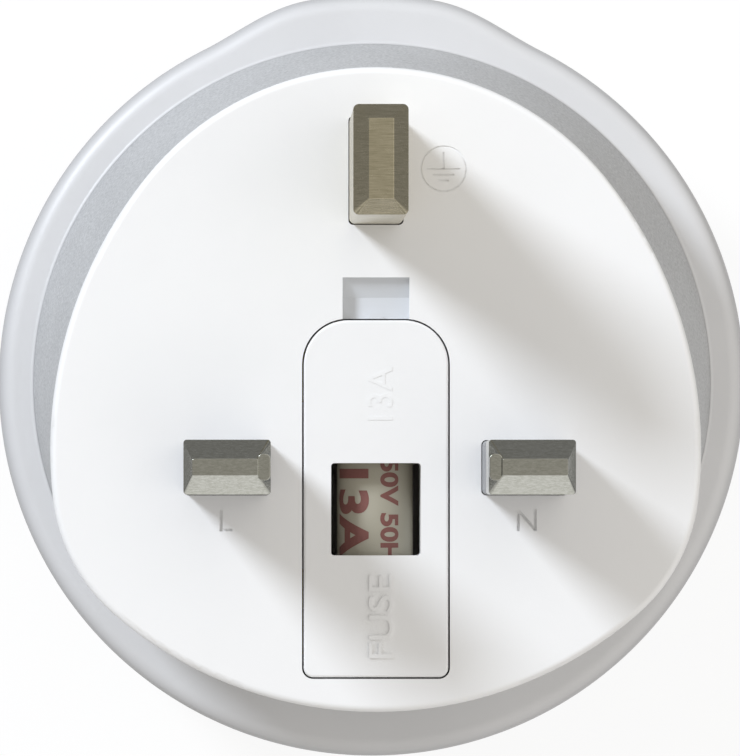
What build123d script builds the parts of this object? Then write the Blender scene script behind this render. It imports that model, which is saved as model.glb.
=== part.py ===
"""Travel adapter: a round socket with earth springs at one end, three fused plug pins at the other.

Units are millimetres. The axis of the housing is Z and the pins point up. The origin lies on that
axis, in the plane of the socket's rim, on which the adapter stands. The earth pin is on the +Y side,
the line pin on the -X side.
"""
import os
from math import asin, cos, degrees, hypot, pi, radians, sin, sqrt

from build123d import *

# Housing: heights along the axis, radii and walls
shell_rim_radius = 28.2        # outside of the shell at the socket end
shell_radius = 28.7            # outside of the shell at its crown
crown_z = 24.6                 # top of the shell, where the collar comes out of it
crown_edge_radius = 1.1
crown_lip_radius = 0.15
rim_edge_radius = 0.8
shell_wall = 2.0
ridge_height = 1.15            # ridge along the shell, on the earth pin's side
ridge_flat_angle = 9.0         # half angle of the ridge's top, and of its feet
ridge_foot_angle = 27.0
ridge_points = 18              # steps of the curve over the ridge

# Plug face: a rounded triangle of tangent arcs
face_z = 42.0
face_plate = 1.6
face_edge_radius = 0.5
face_top_radius = 22.0
face_top_y = 1.35              # centre of the upper arc
face_corner_radius = 13.4
face_corner_x = 10.8           # centres of the two lower corners
face_corner_y = -7.4
face_side_radius = 32.6
face_bottom_radius = 29.9

# Collar between shell and plug face
collar_inset = 0.5             # the face plate stands this far over the collar
collar_wall = 1.8
collar_seat_depth = 1.2        # the collar stands in a rebate of the shell's crown
collar_play = 0.05
spigot_depth = 2.0             # ring of the face plate that plugs into the collar
spigot_wall = 1.5
spigot_play = 0.15             # between the ring and the collar's inner wall

# Socket recess for a round two-pin plug with side earth contacts
recess_radius = 19.55
recess_depth = 17.5
recess_wall = 2.2
recess_lead_in = 0.6
floor_thickness = 3.0
flange_thickness = 2.4
socket_pin_spacing = 19.0
socket_pin_radius = 2.4
socket_hole_radius = 2.75
guide_rib_width = 5.0
guide_rib_height = 1.5
guide_rib_top_gap = 1.0        # the ribs start this far inside the rim
clip_groove_width = 6.2
clip_groove_depth = 1.1
floor_ring_height = 3.5        # upstanding ring round the shutter
floor_ring_wall = 1.6

# Plug pins
pin_spacing = 22.2             # line to neutral
pin_row_y = -6.6
earth_pin_rise = 22.2          # earth pin above the line and neutral row
pin_width = 6.35
pin_thickness = 4.0
pin_length = 17.7
earth_width = 4.0
earth_thickness = 8.0
earth_length = 22.7
pin_corner_radius = 0.35
pin_tip_depth = 1.7
pin_tip_outer_bevel = 0.65
pin_tip_inner_bevel = 0.95
pin_tip_side_bevel = 1.4
pin_tip_corner_radius = 0.12
stub_width = 0.95              # level stub on the inner bevel of a live pin
stub_length = 1.95
stub_corner_radius = 0.4
stub_drop = 0.15
stub_depth = 1.2
earth_tip_depth = 1.9
earth_tip_bevel = 1.1
pin_foot_margin = 1.05         # flange round the foot of each pin
pin_foot_height = 1.5
pin_foot_corner_radius = 0.7
pin_tail_radius = 1.2
earth_tail_radius = 1.75
sleeve_length = 9.5            # insulated length above the face
sleeve_wall = 0.6
sleeve_buried = 1.2            # length of the sleeve inside the face plate
pin_fit = 0.06                 # slot in the face plate round a pin

# Fuse and its carrier
fuse_length = 25.4
fuse_cap_radius = 3.175
fuse_cap_length = 5.8
fuse_cap_wall = 0.3
fuse_tube_radius = 2.85
fuse_bore_radius = 1.6
carrier_width = 10.8
carrier_length = 26.65
carrier_y = -8.91
carrier_lid = 1.5
carrier_top_radius = 3.3
carrier_bottom_radius = 0.7
carrier_edge_radius = 0.2
carrier_gap = 0.12
carrier_side_inset = 0.25      # the cheeks stand in from the lid's edge
carrier_end_wall = 0.45
cheek_reach = 2.0              # the cheeks reach this far below the fuse axis
window_width = 6.7
window_length = 6.9
window_y = -9.7
window_corner_radius = 0.25
pocket_wall = 0.9
pocket_z = 34.4
fuse_gap = 0.1                 # between fuse and lid, and between fuse and cheeks
notch_width = 5.0
notch_length = 3.2
notch_crease = 1.7             # from the carrier's edge to the foot of the notch's slope
notch_depth = 1.1
notch_shallow = 0.35           # depth at the upper end of the slope
bump_radius = 0.6              # catch in the middle of the notch
bump_height = 0.5

# Metal strip parts
strip_thickness = 0.6
strip_width = 4.0
clip_thickness = 0.4
clip_foot = 0.5                # thickness under the cradle of the fuse clip
clip_length = 5.0
clip_clearance = 0.15
clip_arm_height = 2.0          # arms of the fuse clip above the fuse axis
sleeve_contact_wall = 0.5
sleeve_contact_play = 0.05
sleeve_slot = 0.8
contact_base_z = 24.4
contact_hole_margin = 0.2      # holes in the strips, round a plug pin
earth_strip_width = 5.0
earth_bow = 1.3                # the earth springs bow this far into the recess
earth_spring_z = 2.6           # lower end of the earth springs

# Contact block
block_radius = 21.3
block_top_z = 30.0
block_play = 0.15
post_margin = 0.6

# Shutter
shutter_play = 0.1
shutter_height = 2.8
ramp_half = 3.4
ramp_edge = 0.8                # height of the ramp's low edge
shutter_bar_width = 2.0
shutter_overrun = 0.1
guide_wall = 1.2
guide_play = 0.2
spring_radius = 1.3
spring_wire = 0.18
spring_turns = 7
spring_length = 13.0
spring_seat_thickness = 2.0
spring_seat_width = 5.0

# Places worked out from the sizes above
floor_top_z = recess_depth + floor_thickness
block_z = floor_top_z + floor_ring_height
earth_pin_y = pin_row_y + earth_pin_rise
pin_x = pin_spacing / 2
socket_pin_x = socket_pin_spacing / 2
plate_z = face_z - face_plate
fuse_axis_z = face_z - carrier_lid - fuse_gap - fuse_cap_radius
fuse_y = carrier_y
pin_foot_z = fuse_axis_z - fuse_cap_radius - clip_clearance - clip_foot
strip_z = pin_foot_z - strip_thickness
shutter_z = floor_top_z + shutter_play
collar_seat_z = crown_z - collar_seat_depth
shutter_travel = ramp_half + socket_hole_radius + shutter_overrun
shutter_bar_y = ramp_half - shutter_bar_width
spring_z = shutter_z + shutter_height / 2
spring_seat_y = ramp_half + spring_length
corner_reach = hypot(face_corner_x, face_corner_y) + face_corner_radius
earth_riser_y = recess_radius + clip_groove_depth - strip_thickness
cut = 1.0                      # how far a cutting solid runs past the faces it cuts


def unit(x, y):
    """Unit vector."""
    size = hypot(x, y)
    return x / size, y / size


def face_nodes(inset):
    """Points on the plug face's outline, on the +X side: arc ends and middles, from the top round."""
    a_to_b = unit(face_corner_x, face_corner_y - face_top_y)
    spacing = hypot(face_corner_x, face_corner_y - face_top_y)
    from_top = face_side_radius - face_top_radius
    from_corner = face_side_radius - face_corner_radius
    along = (from_top ** 2 - from_corner ** 2 + spacing ** 2) / (2 * spacing)
    across = sqrt(from_top ** 2 - along ** 2)
    side_x = along * a_to_b[0] + across * a_to_b[1]
    side_y = face_top_y + along * a_to_b[1] - across * a_to_b[0]
    bottom_y = face_corner_y + sqrt((face_bottom_radius - face_corner_radius) ** 2 - face_corner_x ** 2)

    up = unit(-side_x, face_top_y - side_y)
    out = unit(face_corner_x - side_x, face_corner_y - side_y)
    down = unit(face_corner_x, face_corner_y - bottom_y)
    middle = unit(up[0] + out[0], up[1] + out[1])
    corner = unit(out[0] + down[0], out[1] + down[1])
    top_r = face_top_radius - inset
    side_r = face_side_radius - inset
    corner_r = face_corner_radius - inset
    bottom_r = face_bottom_radius - inset
    return {
        "top": (0, face_top_y + top_r),
        "shoulder": (top_r * up[0], face_top_y + top_r * up[1]),
        "side": (side_x + side_r * middle[0], side_y + side_r * middle[1]),
        "hip": (face_corner_x + corner_r * out[0], face_corner_y + corner_r * out[1]),
        "corner": (face_corner_x + corner_r * corner[0], face_corner_y + corner_r * corner[1]),
        "foot": (face_corner_x + corner_r * down[0], face_corner_y + corner_r * down[1]),
        "bottom": (0, bottom_y - bottom_r),
    }


def neck_nodes(inset):
    """The collar's base: the shell's circle above, the plug face's own corners and bottom below."""
    nodes = face_nodes(inset)
    radius = corner_reach - inset
    hip = unit(face_corner_x, face_corner_y)
    shoulder = unit(*nodes["shoulder"])
    side = unit(hip[0] + shoulder[0], hip[1] + shoulder[1])
    corner_r = face_corner_radius - inset
    foot = unit(nodes["foot"][0] - face_corner_x, nodes["foot"][1] - face_corner_y)
    corner = unit(hip[0] + foot[0], hip[1] + foot[1])
    nodes["top"] = (0, radius)
    nodes["shoulder"] = (radius * shoulder[0], radius * shoulder[1])
    nodes["side"] = (radius * side[0], radius * side[1])
    nodes["hip"] = (radius * hip[0], radius * hip[1])
    nodes["corner"] = (face_corner_x + corner_r * corner[0], face_corner_y + corner_r * corner[1])
    return nodes


def arc_outline(nodes, z):
    """Closed face through the nodes, mirrored in the YZ plane, made of six arcs at height z."""
    def right(name):
        return (nodes[name][0], nodes[name][1], z)

    def left(name):
        return (-nodes[name][0], nodes[name][1], z)

    edges = [
        ThreePointArc(left("shoulder"), right("top"), right("shoulder")),
        ThreePointArc(right("shoulder"), right("side"), right("hip")),
        ThreePointArc(right("hip"), right("corner"), right("foot")),
        ThreePointArc(right("foot"), right("bottom"), left("foot")),
        ThreePointArc(left("foot"), left("corner"), left("hip")),
        ThreePointArc(left("hip"), left("side"), left("shoulder")),
    ]
    return make_face(edges)


def face_prism(inset, z0, z1):
    """Upright solid with the plug face's outline."""
    return extrude(arc_outline(face_nodes(inset), z0), amount=z1 - z0, dir=(0, 0, 1))


def collar_form(inset):
    """Solid that rises upright out of the shell's crown, then slopes in to the plug face's outline."""
    foot = extrude(arc_outline(neck_nodes(inset), collar_seat_z), amount=collar_seat_depth)
    base = arc_outline(neck_nodes(inset), crown_z)
    top = arc_outline(face_nodes(inset), plate_z)
    return foot + loft([base, top], ruled=True)


def box(x0, x1, y0, y1, z0, z1):
    """Box between two corners."""
    size = Box(x1 - x0, y1 - y0, z1 - z0)
    return Pos((x0 + x1) / 2, (y0 + y1) / 2, (z0 + z1) / 2) * size


def span(side, inner, outer):
    """Low and high end of a stretch between two distances from the middle, on one side of it."""
    return sorted((side * inner, side * outer))


def rod(radius, x, y, z0, z1):
    """Upright cylinder."""
    return Pos(x, y, (z0 + z1) / 2) * Cylinder(radius, z1 - z0)


def rod_y(radius, x, z, y0, y1):
    """Cylinder along Y."""
    return Pos(x, (y0 + y1) / 2, z) * Rot(90, 0, 0) * Cylinder(radius, y1 - y0)


def rounded_block(width, length, x, y, z0, z1, corner):
    """Upright block with rounded vertical edges."""
    return extrude(Pos(x, y, z0) * RectangleRounded(width, length, corner), amount=z1 - z0)


def shell_plan(radius, z):
    """Closed face at height z: a circle, raised to a ridge with cosine flanks on the earth pin's side."""
    def at(angle):
        fall = (abs(angle) - ridge_flat_angle) / (ridge_foot_angle - ridge_flat_angle)
        r = radius + ridge_height * (1 + cos(pi * min(max(fall, 0), 1))) / 2
        return r * sin(radians(angle)), r * cos(radians(angle)), z

    foot = radians(ridge_foot_angle)
    points = [at(ridge_foot_angle * (2 * k / ridge_points - 1)) for k in range(ridge_points + 1)]
    wave = Spline(points, tangents=[(cos(foot), sin(foot), 0), (cos(foot), -sin(foot), 0)])
    back = ThreePointArc(at(ridge_foot_angle), (0, -radius, z), at(-ridge_foot_angle))
    return make_face([wave, back])


def shell_form():
    """Outer form of the shell: slightly drafted, with the ridge and rounded ends."""
    form = loft([shell_plan(shell_rim_radius, 0), shell_plan(shell_radius, crown_z)], ruled=True)
    form = fillet(edges_at(form, crown_z), crown_edge_radius)
    return fillet(edges_at(form, 0), rim_edge_radius)


def off_axis(point):
    """Distance of a point from the housing's axis."""
    return hypot(point.X, point.Y)


def edges_at(shape, z):
    """Edges of a shape that lie in the plane at height z."""
    return shape.edges().filter_by_position(Axis.Z, z - 0.01, z + 0.01)


def outer_shell():
    """Smooth sleeve of the housing, open at both ends, with a seat for the collar in its crown."""
    ledge_z = collar_seat_z - shell_wall
    bore = shell_rim_radius - shell_wall
    waist = shell_radius - shell_wall
    profile = Polyline(
        (0, -cut), (bore, -cut), (bore, flange_thickness), (waist, ledge_z - shell_wall),
        (corner_reach - collar_inset - collar_wall, ledge_z), (0, ledge_z), (0, -cut),
    )
    cavity = revolve(Plane.XZ * make_face(profile), Axis.Z)
    seat = extrude(arc_outline(neck_nodes(collar_inset - collar_play), collar_seat_z),
                   amount=collar_seat_depth + cut)
    opening = extrude(arc_outline(neck_nodes(collar_inset + collar_wall), ledge_z - cut),
                      amount=shell_wall + 2 * cut)
    shell = shell_form() - cavity - seat - opening
    lip = [edge for edge in edges_at(shell, crown_z) if off_axis(edge @ 0.5) < corner_reach]
    return fillet(lip, crown_lip_radius)


def neck_collar():
    """Textured collar: the loft from the round shell to the rounded triangle of the plug face."""
    opening = collar_form(collar_inset + collar_wall)
    below = extrude(arc_outline(neck_nodes(collar_inset + collar_wall), collar_seat_z - cut), amount=cut)
    above = face_prism(collar_inset + collar_wall, plate_z, plate_z + cut)
    return collar_form(collar_inset) - opening - below - above


def pin_slots(z0, z1):
    """The three slots that the plug pins stand in."""
    width = pin_width + 2 * pin_fit
    thickness = pin_thickness + 2 * pin_fit
    slots = [rounded_block(width, thickness, x, pin_row_y, z0, z1, pin_corner_radius)
             for x in (-pin_x, pin_x)]
    slots.append(rounded_block(earth_width + 2 * pin_fit, earth_thickness + 2 * pin_fit,
                               0, earth_pin_y, z0, z1, pin_corner_radius))
    return slots


def carrier_outline(grow, z0, z1):
    """Upright solid with the carrier's outline: large upper corners, small lower corners."""
    width = carrier_width + 2 * grow
    length = carrier_length + 2 * grow
    block = box(-width / 2, width / 2, carrier_y - length / 2, carrier_y + length / 2, z0, z1)
    upright = block.edges().filter_by(Axis.Z).sort_by(Axis.Y)
    block = fillet(upright[2:], carrier_top_radius + grow)
    upright = block.edges().filter_by(Axis.Z).sort_by(Axis.Y)
    return fillet(upright[:2], carrier_bottom_radius + grow)


def notch():
    """Lever notch above the carrier: a slope down to a crease, then a level floor as far as the carrier."""
    edge_y = carrier_y + carrier_length / 2
    profile = Polyline(
        (edge_y - cut, face_z + cut), (edge_y + notch_length, face_z + cut),
        (edge_y + notch_length, face_z - notch_shallow), (edge_y + notch_crease, face_z - notch_depth),
        (edge_y - cut, face_z - notch_depth), (edge_y - cut, face_z + cut),
    )
    hollow = extrude(Plane.YZ * make_face(profile), amount=notch_width / 2, both=True)
    floor_z = face_z - notch_depth
    return hollow - rod(bump_radius, 0, edge_y, floor_z - cut, floor_z + bump_height)


def pin_boss(width, thickness, x, y):
    """Block under the face plate that holds a pin above its foot."""
    return rounded_block(width + 2 * pin_foot_margin, thickness + 2 * pin_foot_margin, x, y,
                         pin_foot_z + pin_foot_height, plate_z, pin_foot_corner_radius)


def rear_cover():
    """Plug face: plate with pin slots, the carrier's pocket and a ring that plugs into the collar."""
    plate = face_prism(0, plate_z, face_z)
    plate = fillet(edges_at(plate, face_z), face_edge_radius)
    ring_inset = collar_inset + collar_wall + spigot_play
    ring = (face_prism(ring_inset, plate_z - spigot_depth, plate_z)
            - face_prism(ring_inset + spigot_wall, plate_z - spigot_depth - cut, plate_z))
    bosses = [pin_boss(pin_width, pin_thickness, x, pin_row_y) for x in (-pin_x, pin_x)]
    bosses.append(pin_boss(earth_width, earth_thickness, 0, earth_pin_y))
    under = ring + bosses + carrier_outline(carrier_gap + pocket_wall, pocket_z, plate_z)
    cover = plate + (under & collar_form(ring_inset))
    cover = cover - carrier_outline(carrier_gap, pocket_z - cut, face_z + cut) - notch()
    return cover - pin_slots(pin_foot_z, face_z + cut)


def socket_cup():
    """Socket insert: round recess with guide ribs, pin holes, grooves for the earth springs."""
    outer = recess_radius + recess_wall
    flange = shell_rim_radius - shell_wall - pin_fit
    ring_inner = outer - floor_ring_wall
    profile = Polyline(
        (recess_radius + recess_lead_in, 0), (flange, 0), (flange, flange_thickness),
        (outer, flange_thickness), (outer, block_z), (ring_inner, block_z), (ring_inner, floor_top_z),
        (0, floor_top_z), (0, recess_depth), (recess_radius, recess_depth),
        (recess_radius, recess_lead_in), (recess_radius + recess_lead_in, 0),
    )
    cup = revolve(Plane.XZ * make_face(profile), Axis.Z)
    groove_y = recess_radius + clip_groove_depth
    groove_half = clip_groove_width / 2
    guide_x = socket_pin_x + ramp_half + guide_play
    guide_top = floor_top_z + shutter_height
    for side in (-1, 1):
        hole = rod(socket_hole_radius, side * socket_pin_x, 0, recess_depth - cut, floor_top_z + cut)
        groove = box(-groove_half, groove_half, *span(side, recess_radius - 2 * cut, groove_y),
                     earth_spring_z - cut, block_z + cut)
        cup = cup - hole - groove
        rib = box(*span(side, recess_radius - guide_rib_height, recess_radius + cut),
                  -guide_rib_width / 2, guide_rib_width / 2, guide_rib_top_gap, recess_depth)
        guide = box(*span(side, guide_x, guide_x + guide_wall),
                    -ramp_half, ramp_half + shutter_travel, floor_top_z, guide_top)
        cup = cup + rib + guide
    seat = box(-spring_seat_width / 2, spring_seat_width / 2, spring_seat_y,
               spring_seat_y + spring_seat_thickness, floor_top_z, guide_top)
    return cup + seat


def shutter_slider():
    """Safety shutter: two ramps over the pin holes, joined by a bar, pushed aside by both pins together."""
    ramp_profile = Polyline(
        (-ramp_half, shutter_z + shutter_height - ramp_edge), (ramp_half, shutter_z),
        (ramp_half, shutter_z + shutter_height), (-ramp_half, shutter_z + shutter_height),
        (-ramp_half, shutter_z + shutter_height - ramp_edge),
    )
    ramp = extrude(Plane.YZ * make_face(ramp_profile), amount=ramp_half, both=True)
    bar = box(-socket_pin_x, socket_pin_x, shutter_bar_y, ramp_half, shutter_z + ramp_edge,
              shutter_z + shutter_height)
    slider = bar + Pos(-socket_pin_x, 0, 0) * ramp + Pos(socket_pin_x, 0, 0) * ramp
    return slider


def shutter_spring():
    """Coil spring that holds the shutter closed, between the bar and its seat."""
    start_y = ramp_half + 2 * spring_wire
    run = spring_length - 4 * spring_wire
    path = Helix(run / spring_turns, run, spring_radius)
    section = Plane(origin=path @ 0, z_dir=path % 0) * Circle(spring_wire)
    coil = sweep(section, path=path)
    return Pos(0, start_y, spring_z) * Rot(-90, 0, 0) * coil


def contact_block():
    """Inner moulding that carries the contacts: posts under the pins, a groove for the earth strap."""
    block = rod(block_radius, 0, 0, block_z, block_top_z)
    post_x = pin_width + 2 * pin_foot_margin
    post_y = pin_thickness + 2 * pin_foot_margin
    pocket = socket_pin_radius + sleeve_contact_play + sleeve_contact_wall + block_play
    for side in (-1, 1):
        post = rounded_block(post_x, post_y, side * pin_x, pin_row_y, block_top_z, strip_z, post_margin)
        collar = rod(pocket + post_margin, side * socket_pin_x, 0, block_top_z, strip_z)
        block = block + post + collar
    earth_post = rounded_block(earth_width + 2 * pin_foot_margin, earth_thickness + 2 * pin_foot_margin,
                               0, earth_pin_y, block_top_z, pin_foot_z, post_margin)
    saddles = [box(-strip_width / 2, strip_width / 2, y - clip_length / 2, y + clip_length / 2,
                   block_top_z, strip_z) for y in clip_places()]
    block = block + earth_post + saddles
    for side in (-1, 1):
        block = block - rod(pocket, side * socket_pin_x, 0, block_z - cut, strip_z + cut)
    strap_half = earth_strip_width / 2 + block_play
    strap_top = contact_base_z + strip_thickness + block_play
    strap = box(-strap_half, strap_half, -block_radius - cut, block_radius + cut, block_z - cut, strap_top)
    tail = rod(earth_tail_radius + block_play, 0, earth_pin_y, block_z, pin_foot_z + cut)
    return block - strap - tail


def clip_places():
    """Centres along Y of the lower and the upper fuse clip."""
    reach = fuse_length / 2 - fuse_cap_length / 2
    return fuse_y - reach, fuse_y + reach


def fuse_clip(y):
    """Clip for one fuse cap: a half round cradle with two upright arms, open towards the plug face."""
    inner = fuse_cap_radius + clip_clearance
    outer = inner + clip_thickness
    top = fuse_axis_z + clip_arm_height
    ends = (y - clip_length / 2, y + clip_length / 2)
    blank = rod_y(outer, 0, fuse_axis_z, *ends) + box(-outer, outer, *ends, fuse_axis_z, top)
    blank = blank + box(-strip_width / 2, strip_width / 2, *ends, pin_foot_z, fuse_axis_z - inner)
    hollow = (rod_y(inner, 0, fuse_axis_z, ends[0] - cut, ends[1] + cut)
              + box(-inner, inner, ends[0] - cut, ends[1] + cut, fuse_axis_z, top + cut)
              + box(-outer - cut, outer + cut, ends[0] - cut, ends[1] + cut, top, top + outer))
    return blank - hollow


def sleeve_contact(side):
    """Tubular contact for one round plug pin: two leaves, split along the middle."""
    x = side * socket_pin_x
    inner = socket_pin_radius + sleeve_contact_play
    outer = inner + sleeve_contact_wall
    tube = rod(outer, x, 0, contact_base_z, strip_z) - rod(inner, x, 0, contact_base_z - cut, strip_z + cut)
    slot = box(x - sleeve_slot / 2, x + sleeve_slot / 2, -outer - cut, outer + cut,
               contact_base_z - cut, block_top_z)
    return tube - slot


def strip_between(points, width):
    """Flat metal strip with round ends along a line of points, at the height of the pins' feet."""
    pieces = []
    for (x0, y0), (x1, y1) in zip(points, points[1:]):
        length = hypot(x1 - x0, y1 - y0)
        turn = degrees(asin((y1 - y0) / length))
        if x1 < x0:
            turn = 180 - turn
        pieces.append(Pos((x0 + x1) / 2, (y0 + y1) / 2) * Rot(0, 0, turn) * Rectangle(length, width))
    outline = pieces[0]
    for piece in pieces[1:]:
        outline = outline + piece
    for x, y in points:
        outline = outline + Pos(x, y) * Circle(width / 2)
    return extrude(Pos(0, 0, strip_z) * outline, amount=strip_thickness)


def contact_ring(side):
    """Eye of a strip on top of a sleeve contact, and the hole in it for the plug pin."""
    inner = socket_pin_radius + contact_hole_margin
    outer = socket_pin_radius + sleeve_contact_play + sleeve_contact_wall + post_margin
    eye = rod(outer, side * socket_pin_x, 0, strip_z, pin_foot_z)
    hole = rod(inner, side * socket_pin_x, 0, strip_z - cut, pin_foot_z + cut)
    return eye, hole


def line_busbar():
    """Strip from the line pin's foot to the lower fuse clip."""
    lower = clip_places()[0]
    strip = strip_between([(-pin_x, pin_row_y), (-pin_x / 2, lower), (0, lower)], strip_width)
    return strip - rod(pin_tail_radius, -pin_x, pin_row_y, strip_z - cut, pin_foot_z + cut)


def fused_busbar():
    """Strip from the upper fuse clip to the line contact."""
    upper = clip_places()[1]
    eye, hole = contact_ring(-1)
    return strip_between([(-socket_pin_x, 0), (0, upper)], strip_width) + eye - hole


def neutral_busbar():
    """Strip from the neutral pin's foot to the neutral contact."""
    eye, hole = contact_ring(1)
    strip = strip_between([(pin_x, pin_row_y), (socket_pin_x, 0)], strip_width) + eye - hole
    return strip - rod(pin_tail_radius, pin_x, pin_row_y, strip_z - cut, pin_foot_z + cut)


def tip(width, thickness, x, y, top_z, depth, bevels):
    """Bevelled end of a pin: a ruled loft from the full section to the small flat on top."""
    low_x, high_x, side_y = bevels
    base = Pos(x, y, top_z - depth) * RectangleRounded(width, thickness, pin_corner_radius)
    flat = Pos(x + (low_x - high_x) / 2, y, top_z) * RectangleRounded(
        width - low_x - high_x, thickness - 2 * side_y, pin_tip_corner_radius)
    return loft([base, flat], ruled=True)


def blade(width, thickness, x, y, length, depth, bevels, tail):
    """One plug pin: foot flange, rectangular blade, bevelled tip and a rivet tail below."""
    top_z = face_z + length
    foot = rounded_block(width + 2 * pin_foot_margin, thickness + 2 * pin_foot_margin, x, y,
                         pin_foot_z, pin_foot_z + pin_foot_height, pin_foot_corner_radius)
    shank = rounded_block(width, thickness, x, y, pin_foot_z, top_z - depth, pin_corner_radius)
    tail_radius, tail_z = tail
    return (foot + shank + tip(width, thickness, x, y, top_z, depth, bevels)
            + rod(tail_radius, x, y, tail_z, pin_foot_z))


def sleeve_band(side, grow):
    """Space that the insulating sleeve takes up, as a block round a live pin."""
    return rounded_block(pin_width + 2 * grow, pin_thickness + 2 * grow, side * pin_x, pin_row_y,
                         face_z - sleeve_buried, face_z + sleeve_length, pin_corner_radius + grow)


def sleeve_core(side):
    """The thinner part of a live pin under its sleeve."""
    width = pin_width - 2 * sleeve_wall
    thickness = pin_thickness - 2 * sleeve_wall
    return rounded_block(width, thickness, side * pin_x, pin_row_y,
                         face_z - sleeve_buried - cut, face_z + sleeve_length + cut, pin_corner_radius)


def tip_stub(side):
    """Level stub on the inner bevel of a live pin, flush with the pin's side."""
    top_z = face_z + pin_length - stub_drop
    x = side * (pin_x - pin_width / 2 + stub_width / 2)
    return rounded_block(stub_width, stub_length, x, pin_row_y, top_z - stub_depth, top_z,
                         stub_corner_radius)


def live_pin(side):
    """Line or neutral pin, waisted where the insulating sleeve is moulded on."""
    bevels = (pin_tip_outer_bevel, pin_tip_inner_bevel, pin_tip_side_bevel)
    if side > 0:
        bevels = (pin_tip_inner_bevel, pin_tip_outer_bevel, pin_tip_side_bevel)
    pin = blade(pin_width, pin_thickness, side * pin_x, pin_row_y, pin_length, pin_tip_depth, bevels,
                (pin_tail_radius, strip_z))
    return pin + tip_stub(side) - (sleeve_band(side, cut) - sleeve_core(side))


def pin_sleeve(side):
    """Insulating sleeve of a live pin, flush with the blade."""
    return sleeve_band(side, 0) - sleeve_core(side)


def earth_pin():
    """Earth pin: longer and upright, riveted through the block to the earth strap."""
    bevels = (earth_tip_bevel, earth_tip_bevel, earth_tip_bevel)
    return blade(earth_width, earth_thickness, 0, earth_pin_y, earth_length, earth_tip_depth, bevels,
                 (earth_tail_radius, contact_base_z + strip_thickness))


def earth_strap():
    """Earth contact folded from one strip: a bridge over the shutter and a bowed spring down each side."""
    half = strip_thickness / 2
    wall_y = earth_riser_y + half
    bow_z = (earth_spring_z + recess_depth) / 2
    bow_y = wall_y - clip_groove_depth - earth_bow
    bridge = box(-earth_strip_width / 2, earth_strip_width / 2, -wall_y - half, wall_y + half,
                 contact_base_z, contact_base_z + strip_thickness)
    for side in (-1, 1):
        riser = box(-earth_strip_width / 2, earth_strip_width / 2,
                    *span(side, wall_y - half, wall_y + half), recess_depth, contact_base_z)
        bridge = bridge + riser + earth_spring(side, wall_y, bow_y, bow_z, half)
    return bridge


def earth_spring(side, wall_y, bow_y, bow_z, half):
    """One bowed earth spring, as the strip between two parallel curves."""
    low_z = earth_spring_z
    outer = Spline([(side * (wall_y + half), recess_depth), (side * (bow_y + half), bow_z),
                    (side * (wall_y + half), low_z)], tangents=[(0, -1), (0, -1)])
    inner = Spline([(side * (wall_y - half), recess_depth), (side * (bow_y - half), bow_z),
                    (side * (wall_y - half), low_z)], tangents=[(0, -1), (0, -1)])
    profile = make_face([outer, Line(outer @ 1, inner @ 1), inner, Line(inner @ 0, outer @ 0)])
    return extrude(Plane.YZ * profile, amount=earth_strip_width / 2, both=True)


def fuse_carrier():
    """Fuse drawer: lid flush with the plug face, window, two cheeks that clasp the fuse, two end walls."""
    lid = carrier_outline(0, face_z - carrier_lid, face_z)
    lid = fillet(edges_at(lid, face_z), carrier_edge_radius)
    half = carrier_width / 2 - carrier_side_inset
    low_z = fuse_axis_z - cheek_reach
    lid_z = face_z - carrier_lid
    cheek_end = fuse_length / 2 - fuse_cap_length - clip_thickness
    cheeks = box(-half, half, fuse_y - cheek_end, fuse_y + cheek_end, low_z, lid_z)
    bore = fuse_cap_radius + fuse_gap
    cheeks = cheeks - rod_y(bore, 0, fuse_axis_z, fuse_y - fuse_length, fuse_y + fuse_length)
    carrier = lid + cheeks
    for side in (-1, 1):
        face_y = fuse_y + side * (fuse_length / 2 + fuse_gap)
        back_y = face_y + side * carrier_end_wall
        inner = carrier_width / 2 - carrier_top_radius
        carrier = carrier + box(-inner, inner, *sorted((face_y, back_y)), fuse_axis_z, lid_z)
    window = rounded_block(window_width, window_length, 0, window_y, low_z - cut, face_z + cut,
                           window_corner_radius)
    return carrier - window


def fuse_tube():
    """Ceramic tube of the fuse."""
    ends = (fuse_y - fuse_length / 2 + fuse_cap_wall, fuse_y + fuse_length / 2 - fuse_cap_wall)
    tube = rod_y(fuse_tube_radius, 0, fuse_axis_z, *ends)
    return tube - rod_y(fuse_bore_radius, 0, fuse_axis_z, ends[0] - cut, ends[1] + cut)


def fuse_cap(side):
    """Metal end cap of the fuse."""
    outer_y = fuse_y + side * fuse_length / 2
    inner_y = outer_y - side * fuse_cap_length
    floor_y = outer_y - side * fuse_cap_wall
    cap = rod_y(fuse_cap_radius, 0, fuse_axis_z, *sorted((outer_y, inner_y)))
    cap = chamfer(cap.edges().group_by(Axis.Y)[-1 if side > 0 else 0], fuse_cap_wall / 2)
    return cap - rod_y(fuse_tube_radius, 0, fuse_axis_z, *sorted((floor_y, inner_y - side * cut)))


parts = {
    "outer_shell": outer_shell(),
    "neck_collar": neck_collar(),
    "rear_cover": rear_cover(),
    "socket_cup": socket_cup(),
    "shutter_slider": shutter_slider(),
    "shutter_spring": shutter_spring(),
    "contact_block": contact_block(),
    "line_contact": sleeve_contact(-1),
    "neutral_contact": sleeve_contact(1),
    "line_busbar": line_busbar(),
    "fused_busbar": fused_busbar(),
    "neutral_busbar": neutral_busbar(),
    "earth_strap": earth_strap(),
    "line_pin": live_pin(-1),
    "neutral_pin": live_pin(1),
    "earth_pin": earth_pin(),
    "line_pin_sleeve": pin_sleeve(-1),
    "neutral_pin_sleeve": pin_sleeve(1),
    "fuse_clip_lower": fuse_clip(clip_places()[0]),
    "fuse_clip_upper": fuse_clip(clip_places()[1]),
    "fuse_carrier": fuse_carrier(),
    "fuse_tube": fuse_tube(),
    "fuse_cap_lower": fuse_cap(-1),
    "fuse_cap_upper": fuse_cap(1),
}

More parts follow.
